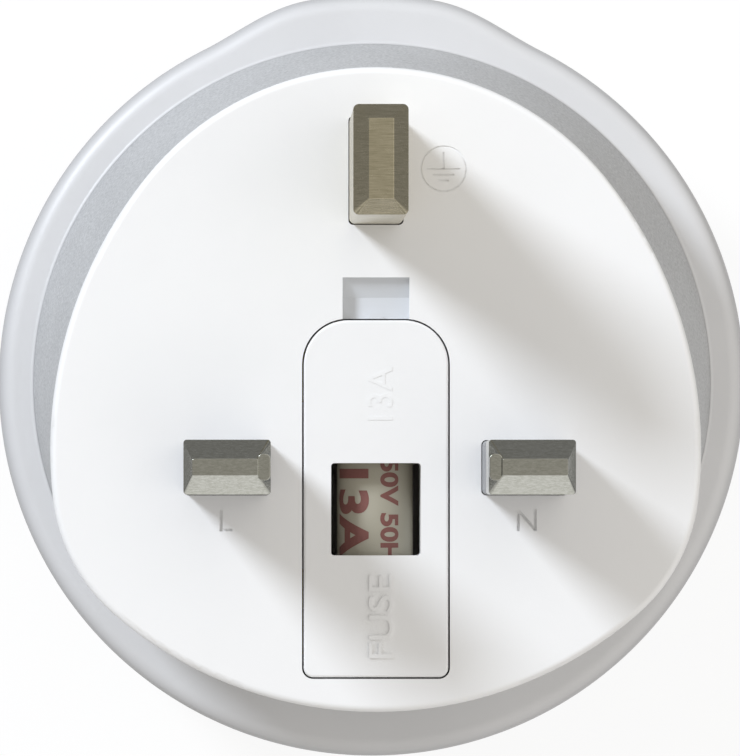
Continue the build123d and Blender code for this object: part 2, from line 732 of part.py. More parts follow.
os.makedirs("parts", exist_ok=True)
for name, shape in parts.items():
    export_step(shape, f"parts/{name}.step")
    print(name, round(shape.volume, 2))
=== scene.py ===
import math

import bmesh
import bpy
import numpy as np
from mathutils import Matrix, Vector


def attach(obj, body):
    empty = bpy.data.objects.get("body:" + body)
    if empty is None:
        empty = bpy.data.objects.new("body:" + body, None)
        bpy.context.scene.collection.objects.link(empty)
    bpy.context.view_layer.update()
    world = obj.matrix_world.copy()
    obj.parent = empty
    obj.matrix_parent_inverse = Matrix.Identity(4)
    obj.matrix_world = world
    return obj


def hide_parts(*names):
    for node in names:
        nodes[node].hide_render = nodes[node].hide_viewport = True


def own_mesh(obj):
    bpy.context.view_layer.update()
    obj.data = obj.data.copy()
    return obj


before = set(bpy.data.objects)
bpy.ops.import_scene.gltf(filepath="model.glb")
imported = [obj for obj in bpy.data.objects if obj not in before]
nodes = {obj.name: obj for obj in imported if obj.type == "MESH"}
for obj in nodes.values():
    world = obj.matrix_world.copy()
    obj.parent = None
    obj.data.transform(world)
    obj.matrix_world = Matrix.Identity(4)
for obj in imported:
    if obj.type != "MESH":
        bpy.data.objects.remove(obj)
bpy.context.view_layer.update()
print("frame loaded:", len(nodes), "parts")

# Sizes here are in millimetres unless a name says otherwise, and mm() turns them into the scene's metres.
# The frame: pins up along Z, earth pin towards +Y, line pin towards -X, the socket's rim on the floor.


def mm(value):
    return np.asarray(value, dtype=float) * 0.001


def linearColour(hexText):
    # sRGB hex to linear light, by the sRGB curve
    channels = np.array([int(hexText[i:i + 2], 16) / 255 for i in (1, 3, 5)])
    straight = np.where(channels <= 0.04045, channels / 12.92, ((channels + 0.055) / 1.055) ** 2.4)
    return (*straight.tolist(), 1.0)


def addNode(tree, kind, settings=None, links=None):
    # a node with its settings and links; a setting is a property of the node, or else the value of an input
    node = tree.nodes.new(kind)
    for key, value in (settings or {}).items():
        if isinstance(key, str) and hasattr(node, key):
            setattr(node, key, value)
        else:
            node.inputs[key].default_value = value
    for key, socket in (links or {}).items():
        tree.links.new(socket, node.inputs[key])
    return node


def newMaterial(name):
    material = bpy.data.materials.new(name)
    material.use_nodes = True
    material.node_tree.nodes.clear()
    return material, material.node_tree


def linkObject(name, data):
    # a new object at the origin, linked to the scene
    made = bpy.data.objects.new(name, data)
    bpy.context.scene.collection.objects.link(made)
    return made


def meshPiece(name, points, faces, material):
    # a smooth piece of the housing, its mesh in place in metres and its object at the origin
    mesh = bpy.data.meshes.new(name)
    mesh.from_pydata(points.reshape(-1, 3).tolist(), [], faces)
    mesh.validate()
    mesh.shade_smooth()
    mesh.materials.append(material)
    piece = linkObject(name, mesh)
    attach(piece, "housing")
    return piece


def sharpen(piece, degrees):
    # a crease in the smooth shading wherever two faces meet at more than this angle
    piece.data.set_sharp_from_angle(angle=math.radians(degrees))


def gridFaces(rows, columns, closedRows, closedColumns, offset=0):
    # quads of a grid, row by row; a closed direction joins its last line to its first
    i = np.arange(rows if closedRows else rows - 1)
    j = np.arange(columns if closedColumns else columns - 1)
    i, j = np.meshgrid(i, j, indexing="ij")
    i, j = i.ravel(), j.ravel()
    nextI, nextJ = (i + 1) % rows, (j + 1) % columns
    quads = [i * columns + j, i * columns + nextJ, nextI * columns + nextJ, nextI * columns + j]
    return offset + np.stack(quads, 1)


def tubeFaces(rings, columns):
    # quads of a tube of rings, with one face over each end
    first = np.arange(columns)
    last = first + (rings - 1) * columns
    return gridFaces(rings, columns, False, True).tolist() + [first[::-1].tolist(), last.tolist()]


def foldAngle(angle):
    # an angle from +Y made the same for both sides, from zero to half a turn
    return np.abs((angle + np.pi) % (2 * np.pi) - np.pi)


# Plug face: a rounded triangle of tangent arcs, and the round shell below it
outlineSizes = {
    "topRadius": 22.0, "topY": 1.35,  # the arc round the earth pin, centred on the Y axis
    "cornerRadius": 13.4, "cornerX": 10.8, "cornerY": -7.4,  # the two lower corners
    "sideRadius": 32.6, "bottomRadius": 29.9,  # the flatter arcs between them
}


def outlineArcs():
    # centres of the side and bottom arcs from tangency, and the angles from +Y at which the arcs meet
    s = outlineSizes
    corner = np.array([s["cornerX"], s["cornerY"]])
    top = np.array([0.0, s["topY"]])
    spacing = np.linalg.norm(corner - top)
    towards = (corner - top) / spacing
    fromTop = s["sideRadius"] - s["topRadius"]
    fromCorner = s["sideRadius"] - s["cornerRadius"]
    along = (fromTop ** 2 - fromCorner ** 2 + spacing ** 2) / (2 * spacing)
    across = math.sqrt(fromTop ** 2 - along ** 2)
    side = top + along * towards + across * np.array([towards[1], -towards[0]])
    bottomY = s["cornerY"] + math.sqrt((s["bottomRadius"] - s["cornerRadius"]) ** 2 - s["cornerX"] ** 2)
    bottom = np.array([0.0, bottomY])
    joints = []
    for centre, other, radius in ((top, side, s["topRadius"]), (corner, side, s["cornerRadius"]),
                                  (corner, bottom, s["cornerRadius"])):
        direction = (centre - other) / np.linalg.norm(centre - other)
        joints.append(centre + radius * direction)
    angles = [math.atan2(p[0], p[1]) for p in joints]
    return top, side, corner, bottom, angles


topCentre, sideCentre, cornerCentre, bottomCentre, meetAngles = outlineArcs()
cornerReach = np.linalg.norm(cornerCentre) + outlineSizes["cornerRadius"]
hipAngle = math.atan2(cornerCentre[0], cornerCentre[1])


def rayToArc(angle, centre, radius):
    # distance from the axis to a circle along a ray: the larger root of the quadratic
    reach = np.sin(angle) * centre[0] + np.cos(angle) * centre[1]
    return reach + np.sqrt(np.maximum(reach ** 2 - centre @ centre + radius ** 2, 0))


def faceRadius(angle, inset):
    # polar radius of the plug face's outline; the left half mirrors the right one
    s = outlineSizes
    a = foldAngle(angle)
    return np.select(
        [a < meetAngles[0], a < meetAngles[1], a < meetAngles[2]],
        [rayToArc(a, topCentre, s["topRadius"] - inset), rayToArc(a, sideCentre, s["sideRadius"] - inset),
         rayToArc(a, cornerCentre, s["cornerRadius"] - inset)],
        rayToArc(a, bottomCentre, s["bottomRadius"] - inset))


def neckRadius(angle, inset):
    # polar radius of the collar's base: a circle above the hips, the face's own outline below them
    a = foldAngle(angle)
    return np.where(a < hipAngle, cornerReach - inset, faceRadius(a, inset))


def ringPoints(angle, radius, z):
    # points of rings round the axis, from polar radius and height
    radius, z = np.broadcast_arrays(radius, z)
    return mm(np.stack([radius * np.sin(angle), radius * np.cos(angle), z], -1))


collarSizes = {
    "inset": 0.5, "wall": 1.8, "baseZ": 23.4, "crownZ": 24.6, "topZ": 40.4,
    "columns": 720, "rows": 60, "crease": 40,  # crease in degrees
}


def collarRadius(angle, z, inset):
    # straight lines from the collar's base outline at the crown in to the face's outline at the top
    s = collarSizes
    share = np.clip((z - s["crownZ"]) / (s["topZ"] - s["crownZ"]), 0, 1)
    return neckRadius(angle, inset) * (1 - share) + faceRadius(angle, inset) * share


shellSizes = {
    "rimRadius": 28.2, "crownRadius": 28.7, "crownZ": 24.6,
    "rimRound": 0.8, "crownRound": 1.35, "cove": 0.25,
    "wall": 2.0, "seatZ": 23.4, "seatInset": 0.49, "openInset": 2.3, "flangeZ": 2.4,
    "ridgeHeight": 1.15, "ridgeFlat": 9.0, "ridgeFoot": 27.0,  # degrees either side of the earth pin
    "columns": 720, "wallRows": 24, "roundRows": 12, "crease": 40,
}


def shellSkin(material):
    # a drafted wall with a ridge, a quarter round at its foot and crown, and a cove up to the collar;
    # the ridge falls from its flat to its foot as half a cosine wave
    s = shellSizes
    angle = np.linspace(0, 2 * np.pi, s["columns"], endpoint=False)[None, :]
    turn = np.degrees(foldAngle(angle))
    fall = np.clip((turn - s["ridgeFlat"]) / (s["ridgeFoot"] - s["ridgeFlat"]), 0, 1)
    ridge = s["ridgeHeight"] * (0.5 + 0.5 * np.cos(np.pi * fall))
    quarter = np.linspace(0, np.pi / 2, s["roundRows"])[:, None]
    wallZ = np.linspace(s["rimRound"], s["crownZ"] - s["crownRound"], s["wallRows"])[1:-1, None]
    draft = (s["crownRadius"] - s["rimRadius"]) / s["crownZ"]
    seat = neckRadius(angle, s["seatInset"])
    foot = s["rimRadius"] + ridge + draft * s["rimRound"]
    crown = s["rimRadius"] + ridge + draft * (s["crownZ"] - s["crownRound"])
    rows = [
        (foot - s["rimRound"] * (1 - np.sin(quarter)), s["rimRound"] * (1 - np.cos(quarter))),
        (s["rimRadius"] + ridge + draft * wallZ, wallZ),
        (crown - s["crownRound"] * (1 - np.cos(quarter)),
         s["crownZ"] - s["crownRound"] * (1 - np.sin(quarter))),
    ]
    coveZ = s["crownZ"] + s["cove"] * (1 - np.cos(quarter))
    rows.append((collarRadius(angle, coveZ, s["seatInset"]) + s["cove"] * (1 - np.sin(quarter)), coveZ))
    opening = neckRadius(angle, s["openInset"])
    ledgeZ = s["seatZ"] - s["wall"]
    bore, waist = s["rimRadius"] - s["wall"], s["crownRadius"] - s["wall"]
    for radius, z in ((seat, s["crownZ"]), (seat, s["seatZ"]), (opening, s["seatZ"]), (opening, ledgeZ),
                      (cornerReach - s["openInset"], ledgeZ), (waist, ledgeZ - s["wall"]),
                      (bore, s["flangeZ"]), (bore, 0.0)):
        rows.append((radius + 0 * angle, np.array([[z]])))
    allR = np.concatenate([r + 0 * angle for r, _ in rows])
    allZ = np.concatenate([z + 0 * angle for _, z in rows])
    faces = gridFaces(len(allR), s["columns"], True, True)[:, ::-1].tolist()
    piece = meshPiece("shellSkin", ringPoints(angle, allR, allZ), faces, material)
    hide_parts("outer_shell")
    sharpen(piece, s["crease"])


def collarSkin(material):
    # upright up to the shell's crown, then leaning in to the face's outline, and the same inside
    s = collarSizes
    angle = np.linspace(0, 2 * np.pi, s["columns"], endpoint=False)[None, :]
    z = np.concatenate([[s["baseZ"]], np.linspace(s["crownZ"], s["topZ"], s["rows"])])[:, None]
    outer = collarRadius(angle, z, s["inset"])
    inner = collarRadius(angle, z, s["inset"] + s["wall"])
    allR = np.concatenate([outer, inner[::-1]])
    allZ = np.concatenate([z, z[::-1]]) + 0 * angle
    faces = gridFaces(len(allR), s["columns"], True, True)[:, ::-1].tolist()
    piece = meshPiece("collarSkin", ringPoints(angle, allR, allZ), faces, material)
    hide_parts("neck_collar")
    sharpen(piece, s["crease"])


# Plug pins: stacked rounded rectangles from the rivet tail up to the small flat of the tip
liveSizes = {
    "x": 11.1, "y": -6.6, "width": 6.35, "thickness": 4.0, "corner": 0.24, "edge": 0.06,
    "tailRadius": 1.2, "tailRound": 0.999, "tailZ": 32.8,  # tailRound is the corner's share of the radius
    "footZ": 33.4, "footTop": 34.9, "footMargin": 1.05, "footCorner": 0.7,
    "sleeveZ0": 40.8, "sleeveZ1": 51.5, "sleeveWall": 0.6,
    "tipZ": 59.7, "tipDepth": 1.7, "tipCorner": 0.12,
    "outerBevel": 0.65, "innerBevel": 0.95, "sideBevel": 1.4,
    "stubWidth": 0.95, "stubLength": 1.95, "stubCorner": 0.4, "stubEdge": 0.07,
    "stubInset": 0.01, "stubDrop": 0.15, "stubDepth": 1.2,
}
earthSizes = {
    "x": 0.0, "y": 15.6, "width": 4.0, "thickness": 8.0, "corner": 0.4, "edge": 0.09,
    "tailRadius": 1.75, "tailRound": 0.999, "tailZ": 25.0,
    "footZ": 33.4, "footTop": 34.9, "footMargin": 1.05, "footCorner": 0.7,
    "tipZ": 64.7, "tipDepth": 1.9, "tipCorner": 0.06, "bevel": 1.1,
}
edgeSizes = {"segments": 3, "fromAngle": 20}  # fromAngle in degrees


def roundedRectangle(halfX, halfY, corner, perCorner=7):
    # four quarter circles joined by straight sides, counter-clockwise
    turn = np.linspace(0, np.pi / 2, perCorner)
    quarters = []
    for k, (sx, sy) in enumerate(((1, 1), (-1, 1), (-1, -1), (1, -1))):
        a = turn + k * np.pi / 2
        quarters.append(np.stack([sx * (halfX - corner) + corner * np.cos(a),
                                  sy * (halfY - corner) + corner * np.sin(a)], -1))
    return np.concatenate(quarters)


def roundEdges(piece, width):
    # a narrow round on every edge sharper than the set angle
    edge = piece.modifiers.new("edge", "BEVEL")
    edge.width = float(mm(width))
    edge.segments = edgeSizes["segments"]
    edge.limit_method = "ANGLE"
    edge.angle_limit = math.radians(edgeSizes["fromAngle"])
    edge.harden_normals = True


def stackedPin(name, s, sections, material, nodeName):
    # rings of the sections (height, middle in x, half width, half thickness, corner), closed at both ends
    rings = []
    for z, middle, halfX, halfY, corner in sections:
        ring = roundedRectangle(halfX, halfY, corner)
        rings.append(np.column_stack([ring[:, 0] + middle, ring[:, 1] + s["y"], np.full(len(ring), z)]))
    points = mm(np.array(rings))
    piece = meshPiece(name, points, tubeFaces(len(rings), points.shape[1]), material)
    roundEdges(piece, s["edge"])
    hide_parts(nodeName)


def footSections(s, x):
    # the round rivet tail, and above it the wide foot that holds the pin in the housing
    tail, tailCorner = s["tailRadius"], s["tailRadius"] * s["tailRound"]
    footX, footY = s["width"] / 2 + s["footMargin"], s["thickness"] / 2 + s["footMargin"]
    return [
        (s["tailZ"], x, tail, tail, tailCorner), (s["footZ"], x, tail, tail, tailCorner),
        (s["footZ"], x, footX, footY, s["footCorner"]), (s["footTop"], x, footX, footY, s["footCorner"]),
    ]


def livePin(name, side, material, nodeName):
    # the blade, slimmer where the sleeve goes round it, with a narrower bevel on the side away from the fuse
    s = liveSizes
    x = side * s["x"]
    halfX, halfY = s["width"] / 2, s["thickness"] / 2
    slimX, slimY = halfX - s["sleeveWall"], halfY - s["sleeveWall"]
    outer, inner = s["outerBevel"], s["innerBevel"]
    low, high = (outer, inner) if side < 0 else (inner, outer)
    sections = footSections(s, x) + [
        (s["footTop"], x, halfX, halfY, s["corner"]), (s["sleeveZ0"], x, halfX, halfY, s["corner"]),
        (s["sleeveZ0"], x, slimX, slimY, s["corner"]), (s["sleeveZ1"], x, slimX, slimY, s["corner"]),
        (s["sleeveZ1"], x, halfX, halfY, s["corner"]),
        (s["tipZ"] - s["tipDepth"], x, halfX, halfY, s["corner"]),
        (s["tipZ"], x + (low - high) / 2, halfX - (low + high) / 2, halfY - s["sideBevel"], s["tipCorner"]),
    ]
    stackedPin(name, s, sections, material, nodeName)


def tipStub(name, side, material):
    # level stub on the inner bevel of a live pin: a rounded rectangle whose outer side is flush with the pin
    s = liveSizes
    middle = side * (s["x"] - s["width"] / 2 + s["stubWidth"] / 2 + s["stubInset"])
    ring = roundedRectangle(s["stubWidth"] / 2, s["stubLength"] / 2, s["stubCorner"])
    topZ = s["tipZ"] - s["stubDrop"]
    rings = np.array([np.column_stack([ring[:, 0] + middle, ring[:, 1] + s["y"], np.full(len(ring), z)])
                      for z in (topZ - s["stubDepth"], topZ)])
    piece = meshPiece(name, mm(rings), tubeFaces(2, len(ring)), material)
    roundEdges(piece, s["stubEdge"])


def earthPin(material):
    # the longer blade, with one even bevel round its tip
    s = earthSizes
    halfX, halfY = s["width"] / 2, s["thickness"] / 2
    sections = footSections(s, s["x"]) + [
        (s["footTop"], s["x"], halfX, halfY, s["corner"]),
        (s["tipZ"] - s["tipDepth"], s["x"], halfX, halfY, s["corner"]),
        (s["tipZ"], s["x"], halfX - s["bevel"], halfY - s["bevel"], s["tipCorner"]),
    ]
    stackedPin("earthPinSkin", s, sections, material, "earth_pin")


# Shutter spring: a wire carried along a helix
springSizes = {
    "radius": 1.3, "wire": 0.18, "turns": 7, "length": 13.0, "y0": 3.4, "z": 22.0,
    "perTurn": 40, "around": 12, "keep": 0.52,  # keep is the share of its length at the slide's limit
}


def shutterSpring(material):
    # helix: radius and pitch set the path; each ring lies in the plane across the path's own direction
    s = springSizes
    count, around = s["turns"] * s["perTurn"] + 1, s["around"]
    t = np.linspace(0, 1, count)[:, None]
    turn = 2 * np.pi * s["turns"] * t
    start, run = s["y0"] + 2 * s["wire"], s["length"] - 4 * s["wire"]
    path = np.hstack([s["radius"] * np.cos(turn), start + run * t, s["z"] + s["radius"] * np.sin(turn)])
    tangent = np.gradient(path, axis=0)
    tangent /= np.linalg.norm(tangent, axis=1, keepdims=True)
    outward = np.hstack([np.cos(turn), 0 * t, np.sin(turn)])
    across = np.cross(tangent, outward)
    ring = np.linspace(0, 2 * np.pi, around, endpoint=False)
    points = path[:, None] + s["wire"] * (np.cos(ring)[None, :, None] * outward[:, None]
                                          + np.sin(ring)[None, :, None] * across[:, None])
    piece = meshPiece("shutterSpringWire", mm(points), tubeFaces(count, around), material)
    recalculate(piece)
    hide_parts("shutter_spring")
    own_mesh(piece)


def recalculate(piece):
    # all faces outward
    work = bmesh.new()
    work.from_mesh(piece.data)
    bmesh.ops.recalc_face_normals(work, faces=work.faces)
    work.to_mesh(piece.data)
    work.free()


# Marks: engraved in the plug face, raised on the fuse carrier
markSizes = {
    "faceZ": 42.0, "cutAbove": 0.5, "sunk": 0.02, "letterDepth": 0.23, "signDepth": 0.1,
    "letterHeight": 1.6, "letters": (("L", -11.2, -10.55), ("N", 11.25, -10.5)),
    "curveSteps": 6, "join": 1e-7, "crease": 35,  # join in metres, crease in degrees
}
notchSizes = {
    "halfWidth": 2.7, "y": (4.0, 8.2), "z": (40.5, 41.55),  # box round the notch, up to its slope's middle
    "level": 0.9998, "upward": 0.5,  # least Z of the normal of a level face, and of one that looks up
}
raisedMarks = {
    "markRating": {"text": "13A", "height": 1.9, "stretch": 1.0, "raised": 0.035, "x": 0.3, "y": -1.05,
                   "turn": 90},
    "markFuse": {"text": "FUSE", "height": 1.78, "stretch": 1.2, "raised": 0.16, "x": 0.35, "y": -17.7,
                 "turn": 90},
}


def flattenNormals(mesh):
    # level faces and the notch's faces are shaded by their own normals instead of their corners';
    # the faces of the notch that look up take the second material: polished, and greyed and blued by painted
    # shade
    corner = np.empty(len(mesh.loops) * 3)
    mesh.corner_normals.foreach_get("vector", corner)
    corner = corner.reshape(-1, 3)
    count = len(mesh.polygons)
    own, centre, total = np.empty(count * 3), np.empty(count * 3), np.empty(count, dtype=int)
    mesh.polygons.foreach_get("normal", own)
    mesh.polygons.foreach_get("center", centre)
    mesh.polygons.foreach_get("loop_total", total)
    own, centre = own.reshape(-1, 3), centre.reshape(-1, 3) * 1000
    s = notchSizes
    x, y, z = centre.T
    inNotch = (np.abs(x) < s["halfWidth"]) & (y > s["y"][0]) & (y < s["y"][1]) & (z > s["z"][0])
    flat = np.repeat((np.abs(own[:, 2]) > s["level"]) | inNotch, total)
    corner[flat] = np.repeat(own, total, axis=0)[flat]
    shadedNotchFaces = inNotch & (z < s["z"][1]) & (own[:, 2] > s["upward"])
    mesh.polygons.foreach_set("material_index", shadedNotchFaces.astype(np.int32))
    mesh.normals_split_custom_set(corner.tolist())


def letterMesh(text, height, thickness, weight=0.0):
    # the built-in font's letters as a mesh whose capitals are one height tall, centred on the origin
    curve = bpy.data.curves.new("letters", "FONT")
    curve.body = text
    curve.extrude = thickness / 2
    curve.offset = weight
    curve.resolution_u = markSizes["curveSteps"]
    holder = linkObject("letters", curve)
    bpy.context.view_layer.update()
    mesh = bpy.data.meshes.new_from_object(holder.evaluated_get(bpy.context.evaluated_depsgraph_get()))
    bpy.data.objects.remove(holder)
    points = readPoints(mesh)
    low, high = points.min(0), points.max(0)
    middle = (low + high) / 2
    points[:, :2] = (points[:, :2] - middle[:2]) * height / (high[1] - low[1])
    return mesh, points


def readPoints(mesh):
    # the mesh's points, one row each
    points = np.empty(len(mesh.vertices) * 3)
    mesh.vertices.foreach_get("co", points)
    return points.reshape(-1, 3)


def placedLetters(text, height, x, y, turn, lowZ, highZ, stretch=1.0):
    # letters turned about the pin axis and set between two heights
    mesh, points = letterMesh(text, height, highZ - lowZ)
    points[:, 0] *= stretch
    c, n = math.cos(math.radians(turn)), math.sin(math.radians(turn))
    placed = np.column_stack([
        x + c * points[:, 0] - n * points[:, 1], y + n * points[:, 0] + c * points[:, 1],
        (lowZ + highZ) / 2 + points[:, 2]])
    mesh.vertices.foreach_set("co", mm(placed).ravel())
    mesh.update()
    return mesh


def raisedLetters(name, material):
    # letters on the carrier, their feet sunk a little into it
    s = raisedMarks[name]
    lowZ, highZ = markSizes["faceZ"] - markSizes["sunk"], markSizes["faceZ"] + s["raised"]
    mesh = placedLetters(s["text"], s["height"], s["x"], s["y"], s["turn"], lowZ, highZ, s["stretch"])
    mesh.materials.clear()
    mesh.materials.append(material)
    piece = linkObject(name, mesh)
    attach(piece, "carrier")


earthMarkSizes = {
    "x": 5.05, "y": 15.73, "radius": 1.68, "stroke": 0.13, "sides": 72,
    "upright": 0.62,  # height of the upright bar's middle, and half its length
    "crossBars": ((-0.02, 1.22), (-0.45, 0.8), (-0.88, 0.38)),  # height and half length of each
}


def earthMark(lowZ, highZ):
    # closed ring of square section, an upright bar and three cross bars that shorten downwards
    s = earthMarkSizes
    half = s["stroke"] / 2
    turn = np.linspace(0, 2 * np.pi, s["sides"], endpoint=False)[None, :]
    r = s["radius"] + half * np.array([-1, 1, 1, -1])[:, None]
    z = np.array([lowZ, lowZ, highZ, highZ])[:, None] + 0 * turn
    points = [np.stack([s["x"] + r * np.cos(turn), s["y"] + r * np.sin(turn), z], -1).reshape(-1, 3)]
    faces = [gridFaces(4, s["sides"], True, True)]
    bars = [(s["upright"], half, s["upright"])] + [(y, halfX, half) for y, halfX in s["crossBars"]]
    corner = np.array([[-1, -1], [1, -1], [1, 1], [-1, 1]])
    for y, halfX, halfY in bars:
        flat = np.column_stack([s["x"] + corner[:, 0] * halfX, s["y"] + y + corner[:, 1] * halfY])
        offset = sum(len(p) for p in points)
        points.append(np.concatenate([np.column_stack([flat, np.full(4, h)]) for h in (lowZ, highZ)]))
        faces += [gridFaces(2, 4, False, True, offset), offset + np.array([[3, 2, 1, 0], [4, 5, 6, 7]])]
    mesh = bpy.data.meshes.new("earthMark")
    mesh.from_pydata(mm(np.concatenate(points)).tolist(), [], np.concatenate(faces).tolist())
    return mesh


def engravedFace(material, notchMaterial):
    # a copy of the face plate, its triangles joined, with the letters and the earth sign cut into it
    s = markSizes
    highZ = s["faceZ"] + s["cutAbove"]
    work = bmesh.new()
    work.from_mesh(nodes["rear_cover"].data)
    bmesh.ops.remove_doubles(work, verts=work.verts, dist=s["join"])
    mesh = bpy.data.meshes.new("engravedFace")
    work.to_mesh(mesh)
    work.free()
    piece = linkObject("engravedFace", mesh)
    lowZ = s["faceZ"] - s["letterDepth"]
    cuts = [placedLetters(text, s["letterHeight"], x, y, 0, lowZ, highZ) for text, x, y in s["letters"]]
    cuts.append(earthMark(s["faceZ"] - s["signDepth"], highZ))
    cutters = []
    for number, cutMesh in enumerate(cuts):
        cutMesh.materials.clear()
        cutter = linkObject("cutter", cutMesh)
        recalculate(cutter)
        cut = piece.modifiers.new(f"cut{number}", "BOOLEAN")
        cut.object, cut.operation, cut.solver, cut.use_self = cutter, "DIFFERENCE", "EXACT", True
        cutters.append(cutter)
    bpy.context.view_layer.update()
    result = bpy.data.meshes.new_from_object(piece.evaluated_get(bpy.context.evaluated_depsgraph_get()))
    piece.modifiers.clear()
    piece.data = result
    for cutter in cutters:
        bpy.data.objects.remove(cutter)
    result.name = "engravedFace"
    result.validate()
    result.materials.clear()
    result.materials.append(material)
    result.materials.append(notchMaterial)
    result.shade_smooth()
    sharpen(piece, s["crease"])
    flattenNormals(result)
    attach(piece, "housing")
    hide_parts("rear_cover")


# Fuse print: letters wrapped round the ceramic tube, reading down the carrier
printSizes = {"axisZ": 37.225, "tubeRadius": 2.85, "lift": 0.012, "strip": 0.12, "weight": 0.035}
printedMarks = {
    "fusePrintRating": {"text": "13A", "height": 3.0, "stretch": 1.1, "arc": -2.0, "y": -10.0},
    "fusePrintVoltage": {"text": "250V 50Hz", "height": 1.5, "stretch": 1.12, "arc": 1.1, "y": -9.75},
}


def fusePrint(name, material):
    # along the line of text is -Y; up the letters is round the tube, as an angle of height over radius;
    # the letters are cut in strips along the tube, so that they bend with it
    s, mark = printSizes, printedMarks[name]
    mesh, points = letterMesh(mark["text"], mark["height"], 0, s["weight"])
    points[:, 0] *= mark["stretch"]
    mesh.vertices.foreach_set("co", points.ravel())
    work = bmesh.new()
    work.from_mesh(mesh)
    for level in np.arange(points[:, 1].min(), points[:, 1].max(), s["strip"])[1:]:
        geometry = work.verts[:] + work.edges[:] + work.faces[:]
        bmesh.ops.bisect_plane(work, geom=geometry, plane_co=(0, level, 0), plane_no=(0, 1, 0))
    work.to_mesh(mesh)
    work.free()
    points = readPoints(mesh)
    radius = s["tubeRadius"] + s["lift"]
    angle = (points[:, 1] + mark["arc"]) / radius
    placed = np.column_stack([
        radius * np.sin(angle), mark["y"] - points[:, 0], s["axisZ"] + radius * np.cos(angle)])
    mesh.vertices.foreach_set("co", mm(placed).ravel())
    mesh.materials.clear()
    mesh.materials.append(material)
    mesh.update()
    piece = linkObject(name, mesh)
    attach(piece, "carrier")


# Materials: cloud and metalHeight in millimetres, plasticShare the height of a plastic's grain over its size,
# the ranges what part of a noise the colours span, and roughSpread how far a metal's roughness goes either way
grainSizes = {
    "cloud": 9.0, "plasticShare": 0.25, "metalHeight": 0.03,
    "plasticRange": (0.3, 0.7), "metalRange": (0.35, 0.65), "roughSpread": (0.8, 1.3),
}


def plasticMaterial(name, hexText, roughness, grain, bump, tone, speckle=0.0, edgeShadeHex=None):
    # Injection-moulded thermoplastic: even colour with the faintest cloudiness, satin surface.
    # grain is the size of the surface's structure in millimetres, tone the hex colour of its darker spots,
    # speckle the share of the grain in the colour, and edgeShadeHex the colour of a painted shade that darkens
    # the surface where it is seen on edge.
    material, tree = newMaterial(name)
    place = addNode(tree, "ShaderNodeTexCoord")
    noise = addNode(tree, "ShaderNodeTexNoise", {"Scale": 1000 / grain, "Detail": 3.0, "Roughness": 0.6},
                    {"Vector": place.outputs["Object"]})
    cloud = addNode(tree, "ShaderNodeTexNoise", {"Scale": 1000 / grainSizes["cloud"], "Detail": 2.0},
                    {"Vector": place.outputs["Object"]})
    share = addNode(tree, "ShaderNodeMix", {0: speckle}, {2: cloud.outputs["Fac"], 3: noise.outputs["Fac"]})
    low, high = grainSizes["plasticRange"]
    wide = addNode(tree, "ShaderNodeMapRange", {"From Min": low, "From Max": high},
                   {"Value": share.outputs[0]})
    blend = addNode(tree, "ShaderNodeMix",
                    {"data_type": "RGBA", 6: linearColour(hexText), 7: linearColour(tone)},
                    {0: wide.outputs[0]})
    # painted shade: the colour darkens towards edgeShadeHex where the surface is seen on edge
    if edgeShadeHex:
        facing = addNode(tree, "ShaderNodeLayerWeight", {"Blend": 0.5})
        blend = addNode(tree, "ShaderNodeMix", {"data_type": "RGBA", 7: linearColour(edgeShadeHex)},
                        {0: facing.outputs["Facing"], 6: blend.outputs[2]})
    distance = grain * 0.001 * grainSizes["plasticShare"]
    height = addNode(tree, "ShaderNodeBump", {"Strength": bump, "Distance": distance},
                     {"Height": noise.outputs["Fac"]})
    shader = addNode(tree, "ShaderNodeBsdfPrincipled", {"Roughness": roughness, "IOR": 1.53},
                     {"Base Color": blend.outputs[2], "Normal": height.outputs["Normal"]})
    addNode(tree, "ShaderNodeOutputMaterial", links={"Surface": shader.outputs[0]})
    return material


def metalMaterial(name, hexText, darkHex, roughness, stretch, grain, bump):
    # Plated or bare metal: a directional grain, drawn out along one axis, varies colour and height.
    # stretch is the grain's length in millimetres along each axis.
    material, tree = newMaterial(name)
    place = addNode(tree, "ShaderNodeTexCoord")
    mapping = addNode(tree, "ShaderNodeMapping", {"Scale": tuple(1000 / v for v in stretch)},
                      {"Vector": place.outputs["Object"]})
    noise = addNode(tree, "ShaderNodeTexNoise", {"Scale": 1.0, "Detail": 4.0, "Roughness": 0.65},
                    {"Vector": mapping.outputs[0]})
    spots = addNode(tree, "ShaderNodeTexNoise", {"Scale": 1000 / grain, "Detail": 2.0},
                    {"Vector": place.outputs["Object"]})
    low, high = grainSizes["metalRange"]
    shade = addNode(tree, "ShaderNodeMapRange", {"From Min": low, "From Max": high},
                    {"Value": noise.outputs["Fac"]})
    blend = addNode(tree, "ShaderNodeMix",
                    {"data_type": "RGBA", 6: linearColour(hexText), 7: linearColour(darkHex)},
                    {0: shade.outputs[0]})
    low, high = grainSizes["roughSpread"]
    rough = addNode(tree, "ShaderNodeMapRange", {"To Min": roughness * low, "To Max": roughness * high},
                    {"Value": spots.outputs["Fac"]})
    distance = grainSizes["metalHeight"] * 0.001
    height = addNode(tree, "ShaderNodeBump", {"Strength": bump, "Distance": distance},
                     {"Height": noise.outputs["Fac"]})
    shader = addNode(tree, "ShaderNodeBsdfPrincipled", {"Metallic": 1.0},
                     {"Base Color": blend.outputs[2], "Roughness": rough.outputs[0],
                      "Normal": height.outputs["Normal"]})
    addNode(tree, "ShaderNodeOutputMaterial", links={"Surface": shader.outputs[0]})
    return material


# satin white shell, with a painted shade that darkens it where it is seen on edge
satinPolycarbonate = plasticMaterial(
    "satinPolycarbonate", "#DEDEDF", 0.42, 1.6, 0.05, "#DADADB", 0.0, "#A4A4A5")
# grey, sandy collar with a fine spark-eroded grain
erodedPolycarbonate = plasticMaterial(
    "sparkErodedPolycarbonate", "#D0D1D2", 0.65, 0.22, 0.8, "#A9AAAB", 0.85)
